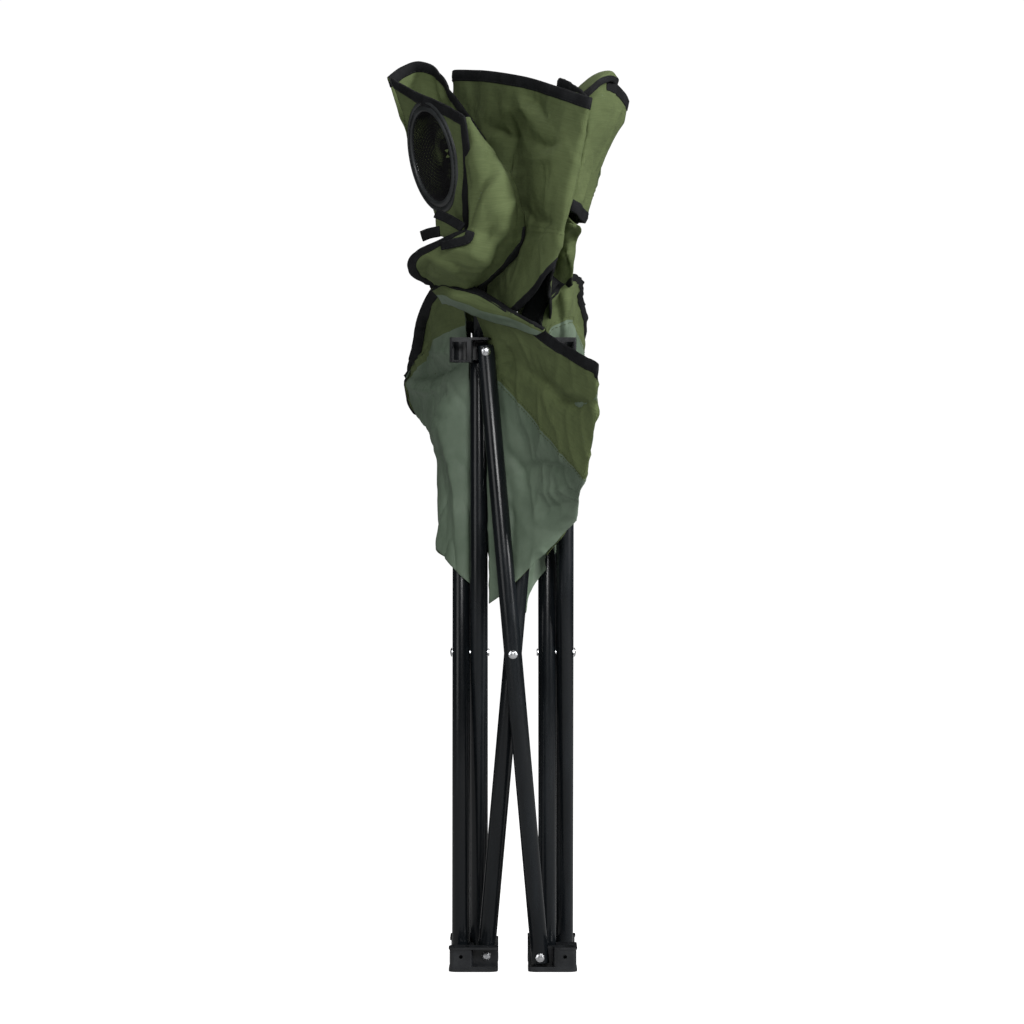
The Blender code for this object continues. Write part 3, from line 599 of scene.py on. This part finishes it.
class Sheet:
    """A sheet of cloth as an even grid of points through given ones, rows from its top edge down."""

    def __init__(self, name, wrinkle, seed):
        self.name = name
        control = np.array(CLOTH_POINTS[name], float) * MM + np.array(MIDDLE)
        self.rows = even_steps(control, CLOTH_PITCH)
        self.cols = even_steps(control.transpose(1, 0, 2), CLOTH_PITCH)
        grid = through(control, self.rows)
        grid = through(grid.transpose(1, 0, 2), self.cols).transpose(1, 0, 2)
        self.normals = grid_normals(grid)
        lift = self.wrinkles(grid, wrinkle, seed) + self.fold_lift(grid)
        self.grid = grid + self.normals * lift[..., None]
        self.normals = grid_normals(self.grid)
        self.grid_uv()

    def grid_uv(self):
        across = np.linalg.norm(np.diff(self.grid, axis=1), axis=-1).mean(axis=0)
        down = np.linalg.norm(np.diff(self.grid, axis=0), axis=-1).mean(axis=1)
        u, v = np.concatenate([[0], np.cumsum(across)]), np.concatenate([[0], np.cumsum(down)])
        self.uv = np.stack(np.meshgrid(u, v), axis=-1)

    def wrinkles(self, grid, depth, seed):
        """Broad soft waves crossed by sharper creases that run mostly downwards."""
        squeezed = grid * np.array([1.0, 1.0, 0.6])
        broad = smooth_noise(squeezed, 24.0, seed)
        bent = squeezed + 0.012 * np.stack(
            [smooth_noise(grid, 16.0, seed + k) for k in (21, 22, 23)], axis=-1
        )
        crease = 1 - np.abs(smooth_noise(bent, 34.0, seed + 5)) * 2.6
        crease = np.clip(crease, 0, 1) ** 3
        fine = smooth_noise(grid, 90.0, seed + 9)
        return depth * (2.4 * broad + 1.2 * crease + 0.5 * fine)

    def fold_lift(self, grid):
        """The listed folds: each a line in the front view, a depth and a width, all in millimetres.

        A fold's section is a ridge or a groove with a rather sharp crest, steep on the left of its
        line and soft on the right.
        """
        lift = np.zeros(grid.shape[:-1])
        plan = grid[..., [0, 2]]
        origin = np.array([MIDDLE.x, MIDDLE.z])
        for line, depth, width in FOLDS.get(self.name, ()):
            line = np.array(line, float) * MM + origin
            total = np.linalg.norm(np.diff(line, axis=0), axis=1).sum()
            nearest, along, run = np.full(lift.shape, 9.0), np.zeros(lift.shape), 0.0
            soft = np.ones(lift.shape)
            for a, b in zip(line[:-1], line[1:]):
                size = np.linalg.norm(b - a)
                t = np.clip((plan - a) @ (b - a) / size**2, 0, 1)
                away = np.linalg.norm(plan - (a + t[..., None] * (b - a)), axis=-1)
                closer = away < nearest
                nearest = np.where(closer, away, nearest)
                along = np.where(closer, (run + t * size) / total, along)
                turn = (plan - a) @ np.array([b[1] - a[1], a[0] - b[0]]) / size
                side = 0.5 - 0.5 * np.tanh(turn / 0.0015)
                soft = np.where(closer, 0.75 + 1.6 * side, soft)
                run += size
            fade = np.sin(np.clip(along, 0.06, 0.94) * math.pi) ** 0.5
            crest = np.exp(-(np.sqrt(nearest**2 + 0.0007**2) - 0.0007) / (width * MM * soft))
            lift += depth * MM * fade * crest
        return lift

    def row_index(self, row):
        return int(np.abs(self.rows - row).argmin())

    def edge(self, side, start=None, end=None):
        """Points, normals and inward samples along one side, between two control rows or columns."""
        grid, normals = self.grid, self.normals
        along = self.cols if side in ("top", "bottom") else self.rows
        if side in ("left", "right"):
            grid, normals = grid.transpose(1, 0, 2), normals.transpose(1, 0, 2)
        if side in ("bottom", "right"):
            grid, normals = grid[::-1], normals[::-1]
        low = 0 if start is None else int(np.abs(along - start).argmin())
        high = len(along) - 1 if end is None else int(np.abs(along - end).argmin())
        return grid[:, low:high + 1], normals[:, low:high + 1]

    def build(self, seam=None, above=OLIVE, below=COATED, inside_above=COATED, inside_below=OLIVE,
              hole=None):
        """The cloth with its thickness. Above and below a seam row it shows different sides."""
        rows, cols = self.grid.shape[:2]
        grid = self.grid.copy()
        keep = np.ones((rows - 1, cols - 1), bool)
        if hole is not None:
            centre, radius = hole
            away = grid - np.array(centre)
            distance = np.linalg.norm(away, axis=-1)
            within = distance < radius
            corners = within[:-1, :-1].astype(int) + within[1:, :-1] + within[:-1, 1:] + within[1:, 1:]
            keep = corners < 4
            grid[within] = np.array(centre) + away[within] * (radius / distance[within])[:, None]
        half = self.normals * CLOTH_THICK / 2
        points = np.concatenate([(grid + half).reshape(-1, 3), (grid - half).reshape(-1, 3)])
        count = rows * cols
        index = np.arange(count).reshape(rows, cols)
        a, b = index[:-1, :-1][keep], index[:-1, 1:][keep]
        c, d = index[1:, 1:][keep], index[1:, :-1][keep]
        split = self.row_index(seam) if seam is not None else rows
        in_lower = (np.arange(rows - 1)[:, None] * np.ones((1, cols - 1)) >= split)[keep]
        front = np.stack([d, c, b, a], axis=1)
        back = np.stack([a, b, c, d], axis=1) + count
        edges = {}
        for face in front:
            for p, q in zip(face, np.roll(face, -1)):
                if (q, p) in edges:
                    del edges[(q, p)]
                else:
                    edges[(p, q)] = True
        rim = np.array([(q, p, p + count, q + count) for p, q in edges])
        faces = np.concatenate([front, back, rim])
        used = np.unique(faces)
        renumber = np.full(2 * count, -1)
        renumber[used] = np.arange(len(used))
        shown = np.concatenate([
            np.where(in_lower, 1, 0), np.where(in_lower, 3, 2), np.zeros(len(rim), int)
        ])
        uv = np.concatenate([self.uv.reshape(-1, 2)] * 2)
        self.obj = make_object(
            self.name, points[used], renumber[faces], [above, below, inside_above, inside_below],
            shown, uv[used],
        )
        return self.obj


def inward(grid, width):
    """For each point of an edge, the points of the cloth at half and at the whole of a width in."""
    step = np.linalg.norm(np.diff(grid, axis=0), axis=-1)
    length = np.concatenate([np.zeros((1, grid.shape[1])), np.cumsum(step, axis=0)])
    found = []
    for distance in (width / 2, width):
        row = np.clip((length < distance).sum(axis=0), 1, len(grid) - 1)
        column = np.arange(grid.shape[1])
        low, high = length[row - 1, column], length[row, column]
        t = np.clip((distance - low) / np.maximum(high - low, 1e-9), 0, 1)[:, None]
        found.append(grid[row - 1, column] * (1 - t) + grid[row, column] * t)
    return found


def bind(name, strips, width=TAPE_WIDTH, stitched=True):
    """Binding tape folded over one or more stretches of cloth edge, with its row of stitches."""
    points, faces, uv, kinds = [], [], [], []
    for grid, normals in strips:
        edge = grid[0]
        middle, inner = inward(grid, width)
        n = normals[0]
        out = edge - middle
        out = out / np.maximum(np.linalg.norm(out, axis=-1, keepdims=True), 1e-9)
        h = CLOTH_THICK / 2 + TAPE_THICK
        section = [
            inner + n * (h - 0.00025), inner - out * -0.0004 + n * h, middle + n * (h + 0.0002),
            edge + n * h, edge + out * 0.0007 + n * h * 0.6, edge + out * 0.001,
            edge + out * 0.0007 - n * h * 0.6, edge - n * h, middle - n * (h + 0.0002),
            inner + out * 0.0004 - n * h, inner - n * (h - 0.00025),
        ]
        ring = len(section)
        base = len(points)
        run = np.concatenate([[0], np.cumsum(np.linalg.norm(np.diff(edge, axis=0), axis=-1))])
        for i in range(len(edge)):
            for k, part in enumerate(section):
                points.append(part[i])
                uv.append((run[i], k * 2 * width / ring))
        for i in range(len(edge) - 1):
            for k in range(ring):
                a, b = base + i * ring + k, base + i * ring + (k + 1) % ring
                faces.append((a, b, b + ring, a + ring))
                kinds.append(0)
        faces.append(tuple(base + k for k in reversed(range(ring))))
        faces.append(tuple(base + (len(edge) - 1) * ring + k for k in range(ring)))
        kinds += [0, 0]
        if stitched:
            line = inner * 0.72 + middle * 0.28
            for side in (1, -1):
                add_stitches(points, faces, uv, kinds, line + side * n * (h + 0.00012), n * side, 1)
    return make_object(name, points, faces, [TAPE, BLACK_THREAD], kinds, uv)


def add_stitches(points, faces, uv, kinds, line, normals, kind):
    """A row of short thread loops that lie along a line on the cloth."""
    run = np.concatenate([[0], np.cumsum(np.linalg.norm(np.diff(line, axis=0), axis=-1))])
    count = int(run[-1] / STITCH_PITCH)
    for i in range(count):
        start = (i + 0.15) * STITCH_PITCH
        ends = []
        for s in (start, start + STITCH_LENGTH / 2, start + STITCH_LENGTH):
            ends.append((
                np.array([np.interp(s, run, line[:, k]) for k in range(3)]),
                np.array([np.interp(s, run, normals[:, k]) for k in range(3)]),
            ))
        along = ends[2][0] - ends[0][0]
        size = np.linalg.norm(along)
        if size < 1e-6:
            continue
        along = along / size
        base = len(points)
        for step, (place, up) in enumerate(ends):
            side = np.cross(along, up)
            lift = 0.6 if step == 1 else -0.5
            radius = THREAD_R * (1.0 if step == 1 else 0.7)
            for k in range(5):
                a = 2 * math.pi * k / 5
                out = math.cos(a) * side + math.sin(a) * up
                points.append(place + up * (THREAD_R * lift) + radius * out)
                uv.append((start, k * THREAD_R))
        for step in range(2):
            for k in range(5):
                a, b = base + step * 5 + k, base + step * 5 + (k + 1) % 5
                faces.append((a, a + 5, b + 5, b))
                kinds.append(kind)
        faces.append(tuple(base + k for k in range(5)))
        faces.append(tuple(base + 10 + k for k in reversed(range(5))))
        kinds += [kind, kind]


def sew(name, lines, material):
    """Rows of stitches on the face of the cloth, as one piece."""
    points, faces, uv, kinds = [], [], [], []
    for line, normals in lines:
        lifted = line + normals * (CLOTH_THICK / 2 + 0.0001)
        add_stitches(points, faces, uv, kinds, lifted, normals, 0)
    return make_object(name, points, faces, [material], kinds, uv)


# ---------------------------------------------------------------- cloth pieces

def at(*point):
    """A place given in millimetres from the middle of the feet."""
    return Vector(point) * MM + MIDDLE


def dress(obj, bodies):
    """Lets a piece move with its one body; a piece between two bodies only gets its place baked into its
    mesh.
    """
    if len(bodies) == 1:
        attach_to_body(obj, bodies[0])
    else:
        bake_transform(obj)


def attach(obj, body, replaced=None):
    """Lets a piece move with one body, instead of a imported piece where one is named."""
    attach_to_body(obj, body)
    if replaced:
        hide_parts(replaced)


def add_ribbon(name, body, width, line):
    """A flat length of tape through a line of points, its face turned to the front."""
    control = np.array(line, float) * MM + np.array(MIDDLE)
    spine = through(control, even_steps(control, TAPE_PITCH))
    along = np.gradient(spine, axis=0)
    along /= np.linalg.norm(along, axis=1, keepdims=True)
    side = np.cross(along, np.array([0.0, -1.0, 0.0]))
    side /= np.linalg.norm(side, axis=1, keepdims=True)
    up = np.cross(side, along)
    half, thick = width * MM / 2, TAPE_THICK
    section = [
        (-1, -1), (-1.02, 0), (-1, 1), (-0.5, 1.3), (0, 1.4), (0.5, 1.3), (1, 1), (1.02, 0), (1, -1),
    ]
    points, faces, uv = [], [], []
    run = np.concatenate([[0], np.cumsum(np.linalg.norm(np.diff(spine, axis=0), axis=1))])
    for i, place in enumerate(spine):
        for k, (a, h) in enumerate(section):
            points.append(place + side[i] * half * a + up[i] * thick * h)
            uv.append((run[i], a * half))
    n = len(section)
    for i in range(len(spine) - 1):
        for k in range(n):
            m = (k + 1) % n
            faces.append((i * n + k, i * n + m, (i + 1) * n + m, (i + 1) * n + k))
    faces.append(tuple(reversed(range(n))))
    faces.append(tuple((len(spine) - 1) * n + k for k in range(n)))
    kinds = [0] * len(faces)
    for edge in (-0.75, 0.75):
        add_stitches(points, faces, uv, kinds, spine + side * half * edge + up * thick * 1.35, up, 1)
    ribbon = make_object(name, points, faces, [TAPE, BLACK_THREAD], kinds, uv)
    attach(ribbon, body)


def add_cloth(name, bodies, bound, replaced=(), seam=None, colours=None, seams=(),
              wrinkle=0.0015, seed=1, hole=None, piped=()):
    """One sheet of cloth with its binding and stitching, riding on its body where it has only one."""
    sheet = Sheet(name, wrinkle, seed)
    sheet.build(seam=seam, hole=hole, **(colours or {}))
    pieces = []
    if bound:
        tape = bind(f"{name}_binding", [sheet.edge(*side) for side in bound])
        pieces.append((tape, "black_cloth"))
    if piped:
        cord = bind(f"{name}_piping", [sheet.edge(*side) for side in piped], PIPING_WIDTH, False)
        pieces.append((cord, "black_cloth"))
    rows = [(sheet.grid[sheet.row_index(row) + shift], sheet.normals[sheet.row_index(row) + shift])
            for row in seams for shift in (-1, 1)]
    if rows:
        pieces.append((sew(f"{name}_seam", rows, OLIVE_THREAD), "olive_cloth"))
    dress(sheet.obj, bodies)
    for piece, slot in pieces:
        dress(piece, bodies)
    if replaced:
        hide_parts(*replaced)


INSIDE = {"above": COATED, "below": OLIVE, "inside_above": OLIVE, "inside_below": COATED}
PLAIN = {"above": OLIVE, "below": OLIVE, "inside_above": COATED, "inside_below": COATED}

add_cloth(
    "seat_front", ("seat_front_left", "seat_front_right"), [("top", 2.5, 8)],
    replaced=("seat_front_left", "seat_front_right"), seam=2, seams=(2,), seed=3,
)
add_cloth(
    "seat_roll", ("seat_front_left",), [("top",)], seam=1.6, seed=4, wrinkle=0.0008,
)
add_cloth(
    "seat_left", ("seat_left_front", "seat_left_rear"), [("top", 0, 5)],
    replaced=("seat_left_front", "seat_left_rear"), colours=INSIDE, seam=2, seams=(2,), seed=5,
    piped=[("top", 5, 7.4)],
)
add_cloth(
    "seat_right", ("seat_right_front", "seat_right_rear"), [("top",)],
    replaced=("seat_right_front", "seat_right_rear"), seam=2, seams=(2,), seed=6,
)
add_cloth(
    "seat_rear", ("seat_rear_left", "seat_rear_right"), [("top",)],
    replaced=("seat_rear_left", "seat_rear_right"), seam=1, seams=(1,), seed=7,
)
add_cloth(
    "back", ("back_left", "back_right"), [("top",), ("bottom",)],
    replaced=("back_left", "back_right"), colours=PLAIN, seams=(3,), seed=8, wrinkle=0.0011,
)
ring_low, ring_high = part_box("cup_ring")
RING_CENTRE = (ring_low + ring_high) / 2
RING_FACING = Vector((-0.888, -0.409, -0.21)).normalized()
add_cloth(
    "arm_left_cup", ("arm_left_front",), [("top",), ("right",)],
    replaced=("arm_left_front",), colours=PLAIN, seed=9, wrinkle=0.0006,
    hole=(RING_CENTRE, CUP_HOLE_R),
)
add_cloth(
    "arm_left_bulge", ("arm_left_front", "arm_left_middle"),
    [("left", 4.3, 8), ("right", 4, 8)],
    replaced=("arm_left_middle",), colours=PLAIN, seed=10,
)
add_cloth(
    "arm_left_top", ("arm_left_front", "hub_front_left"), [("top",)], colours=PLAIN, seed=11,
)
add_cloth(
    "arm_left_strap", ("arm_left_middle", "arm_left_rear"), [("bottom",)],
    replaced=("arm_left_rear",), colours=PLAIN, seed=12,
)
add_cloth(
    "arm_right_outer", ("arm_right_front", "arm_right_middle"), [("top", 2, 4), ("bottom",)],
    replaced=("arm_right_front", "arm_right_middle"), colours=PLAIN, seed=13,
)
add_cloth(
    "arm_right_flap", ("arm_right_front",), [("bottom",)], colours=PLAIN, seed=14, wrinkle=0.0006,
)
add_cloth(
    "arm_right_inner", ("hub_front_right", "arm_right_front"), [("bottom",)],
    colours=PLAIN, seed=15,
)
add_cloth(
    "arm_right_strap", ("arm_right_middle", "arm_right_rear"), [("top",), ("bottom",)],
    replaced=("arm_right_rear",), colours=PLAIN, seed=16,
)
for ribbon_name, (ribbon_body, ribbon_width, ribbon_line) in RIBBONS.items():
    add_ribbon(ribbon_name, ribbon_body, ribbon_width, ribbon_line)


# ---------------------------------------------------------------- frame pieces

def turned(name, section, place, facing, materials, kinds, steps=64, closed=False):
    """A section of (radius, height) points turned about an axis through `place`."""
    turn = Vector(facing).to_track_quat("Z", "Y").to_matrix().to_4x4()
    placed = Matrix.Translation(place) @ turn
    count = len(section)
    points, uv, run = [], [], 0.0
    for i in range(steps):
        a = 2 * math.pi * i / steps
        for k, (r, h) in enumerate(section):
            points.append(placed @ Vector((r * math.cos(a), r * math.sin(a), h)))
            uv.append((a * section[0][0], h))
    faces, used = [], []
    for i in range(steps):
        j = (i + 1) % steps
        for k in range(count if closed else count - 1):
            m = (k + 1) % count
            faces.append((i * count + k, j * count + k, j * count + m, i * count + m))
            used.append(kinds[k])
    if not closed:
        faces.append(tuple(i * count for i in reversed(range(steps))))
        faces.append(tuple(i * count + count - 1 for i in range(steps)))
        used += [kinds[0], kinds[-1]]
    return make_object(name, points, faces, materials, used, uv)


def long_axis(obj):
    """The middle, direction and half length of a straight piece."""
    points = np.array([obj.matrix_world @ v.co for v in obj.data.vertices])
    middle = (points.max(axis=0) + points.min(axis=0)) / 2
    direction = np.linalg.svd(points - points.mean(axis=0), full_matrices=False)[2][0]
    reach = (points - middle) @ direction
    middle = middle + direction * (reach.max() + reach.min()) / 2
    return Vector(middle), Vector(direction), float(reach.max() - reach.min()) / 2


def add_tube(node):
    """A finer tube on a packed one's axis, its ends rolled over and plugged."""
    middle, direction, half = long_axis(NODES[node])
    r = TUBE_R
    low = [
        (0.0, 0.004), (r - 0.0022, 0.004), (r - 0.0020, 0.0006), (r - 0.0013, 0.0), (r - 0.0005, 0.0002),
        (r, 0.0010),
    ]
    section = [(a, h - half) for a, h in low] + [(a, half - h) for a, h in reversed(low)]
    kinds = [1, 1] + [0] * (len(section) - 5) + [1, 1, 1]
    tube = turned(f"{node}_tube", section, middle, direction, [POWDER, BLACK_PLASTIC], kinds)
    attach(tube, BODY_OF[node], node)


def add_ring():
    """The cup ring, turned finer, with its groove of stitches."""
    hole, rim, groove = RING_HOLE_R, RING_R, RING_HOLE_R + 0.0056
    section = [
        (hole, 0.0020), (hole + 0.0004, 0.0028), (hole + 0.0014, 0.0031), (hole + 0.0028, 0.0030),
        (hole + 0.0040, 0.0024), (hole + 0.0046, 0.0019), (groove, 0.0017), (hole + 0.0066, 0.0019),
        (hole + 0.0072, 0.0024), (rim - 0.0022, 0.0025), (rim - 0.0008, 0.0019), (rim - 0.0001, 0.0009),
        (rim, 0.0), (rim - 0.0006, -0.0003), (hole + 0.0004, -0.0003), (hole, 0.0),
    ]
    ring = turned(
        "cup_ring_turned", section, RING_CENTRE, RING_FACING, [GREY_PLASTIC], [0] * len(section),
        RING_STEPS, True,
    )
    attach(ring, BODY_OF["cup_ring"], "cup_ring")
    turn = RING_FACING.to_track_quat("Z", "Y").to_matrix()
    circle = np.array([
        RING_CENTRE + turn @ Vector((groove * math.cos(a), groove * math.sin(a), 0.0020))
        for a in np.linspace(0, 2 * math.pi, 181)
    ])
    points, faces, uv, kinds = [], [], [], []
    add_stitches(points, faces, uv, kinds, circle, np.array([RING_FACING] * len(circle)), 0)
    thread = make_object("cup_ring_stitches", points, faces, [BLACK_THREAD], kinds, uv)
    attach(thread, BODY_OF["cup_ring"])


def add_net():
    """The cup pocket: a net of yarn from the ring's inner edge, collapsed behind it."""
    turn = RING_FACING.to_track_quat("Z", "Y").to_matrix()
    steps = NET_STEPS

    def on_bag(a, t):
        """A place on the bag: t is 0 at the ring and 1 at the middle of its bottom."""
        r = NET_R * (1 - t**3.2)
        sag = NET_DEPTH * math.sin(min(1.0, t * 1.5) * math.pi / 2)
        sag += 0.0014 * math.sin(3 * a + 5 * t) * t
        return RING_CENTRE + turn @ Vector((r * math.cos(a), r * math.sin(a), 0.0004 - sag))

    points, faces, uv = [], [], []
    for lean in (1, -1):
        for i in range(NET_STRANDS):
            path = []
            for k in range(steps + 1):
                t = 0.97 * k / steps
                a = 2 * math.pi * (i + 0.25 * lean) / NET_STRANDS + lean * 1.5 * t
                weave = 0.00022 * lean * (1 if (k + i) % 2 else -1)
                path.append(on_bag(a, t) + RING_FACING * weave)
            base = len(points)
            for k, place in enumerate(path):
                along = (path[min(k + 1, steps)] - path[max(k - 1, 0)]).normalized()
                side = along.cross(RING_FACING).normalized()
                up = side.cross(along)
                radius = YARN_R * (1.0 if k < steps * 0.8 else 0.7)
                for c in range(4):
                    b = 2 * math.pi * c / 4
                    points.append(place + radius * (math.cos(b) * side + math.sin(b) * up))
                    uv.append((k * 0.001, c * YARN_R))
            for k in range(steps):
                near = base + 4 * k
                for c in range(4):
                    d = (c + 1) % 4
                    faces.append((near + c, near + d, near + 4 + d, near + 4 + c))
            faces.append(tuple(base + c for c in reversed(range(4))))
            faces.append(tuple(base + 4 * steps + c for c in range(4)))
    net = make_object("cup_pocket_net", points, faces, [MESH_YARN], None, uv)
    attach(net, BODY_OF["cup_pocket"], "cup_pocket")


for name, obj in NODES.items():
    if name.startswith("rivet"):
        material = ZINC
    elif name.startswith(("foot", "hub", "post_cap")):
        material = BLACK_PLASTIC
    elif name == "cup_ring":
        material = GREY_PLASTIC
    elif name == "cup_pocket":
        material = MESH_YARN
    else:
        material = POWDER
    obj.data.materials.clear()
    obj.data.materials.append(material)
    if name.startswith("rivet"):
        obj.data.shade_smooth()
for name in NODES:
    if name.endswith("_bar") or name.startswith(("rear_post", "arm_post")):
        add_tube(name)
add_ring()
add_net()


# ---------------------------------------------------------------- floor, light and camera

ROOM_LIGHT, ROOM_SHINE = 0.07, 0.02    # the room as it lights the chair, and in its reflections


def add_floor():
    bm = bmesh.new()
    bmesh.ops.create_grid(bm, x_segments=1, y_segments=1, size=12.0)
    mesh = bpy.data.meshes.new("floor")
    bm.to_mesh(mesh)
    bm.free()
    floor = bpy.data.objects.new("floor", mesh)
    bpy.context.scene.collection.objects.link(floor)
    material = new_material("pale_floor", (0.4, 0.4, 0.4), 0.9)
    mesh.materials.append(material)
    shader = material.node_tree.nodes["Principled BSDF"]
    seen = material.node_tree.nodes.new("ShaderNodeLightPath")
    shader.inputs["Emission Color"].default_value = (1.0, 1.0, 1.0, 1.0)
    material.node_tree.links.new(seen.outputs["Is Camera Ray"], shader.inputs["Emission Strength"])
    floor.location = (MIDDLE.x, MIDDLE.y, -0.0005)


def add_light(name, place, aim, size, power):
    data = bpy.data.lights.new(name, "AREA")
    data.shape = "RECTANGLE"
    data.size, data.size_y = size
    data.energy = power
    light = bpy.data.objects.new(name, data)
    bpy.context.scene.collection.objects.link(light)
    light.location = Vector(place)
    light.rotation_euler = (Vector(aim) - Vector(place)).to_track_quat("-Z", "Y").to_euler()


def add_world():
    """White to the camera, a soft grey room for lighting, and nearly black in reflections."""
    world = bpy.data.worlds.new("studio")
    bpy.context.scene.world = world
    world.use_nodes = True
    tree = world.node_tree
    background = tree.nodes["Background"]
    background.inputs["Color"].default_value = (1.0, 1.0, 1.0, 1.0)
    seen = tree.nodes.new("ShaderNodeLightPath")
    value = None
    for ray, low, high in (
        ("Is Glossy Ray", ROOM_LIGHT, ROOM_SHINE), ("Is Camera Ray", None, 1.02),
    ):
        step = tree.nodes.new("ShaderNodeMapRange")
        if low is None:
            tree.links.new(value, step.inputs[3])
        else:
            step.inputs[3].default_value = low
        step.inputs[4].default_value = high
        tree.links.new(seen.outputs[ray], step.inputs[0])
        value = step.outputs[0]
    tree.links.new(value, background.inputs["Strength"])


def add_camera():
    data = bpy.data.cameras.new("camera")
    data.lens = 127.0
    data.sensor_width = 36.0
    camera = bpy.data.objects.new("camera", data)
    bpy.context.scene.collection.objects.link(camera)
    camera.location = MIDDLE + Vector((-0.0009, -3.3, 0.413))
    camera.rotation_euler = (math.radians(90), 0.0, 0.0)
    bpy.context.scene.camera = camera


add_floor()
add_world()
CENTRE = MIDDLE + Vector((0.0, 0.0, 0.45))
add_light("key", (2.9, -1.5, 1.9), CENTRE, (0.8, 1.4), 116.0)
add_light("left", (-2.4, -2.0, 1.3), CENTRE, (1.4, 2.2), 20.0)
add_light("front", (0.5, -3.6, 2.0), CENTRE, (1.2, 1.0), 66.0)
add_light("top", (-0.2, 0.5, 2.8), CENTRE, (1.2, 1.2), 20.0)
add_camera()
bpy.context.scene.view_settings.view_transform = "Standard"
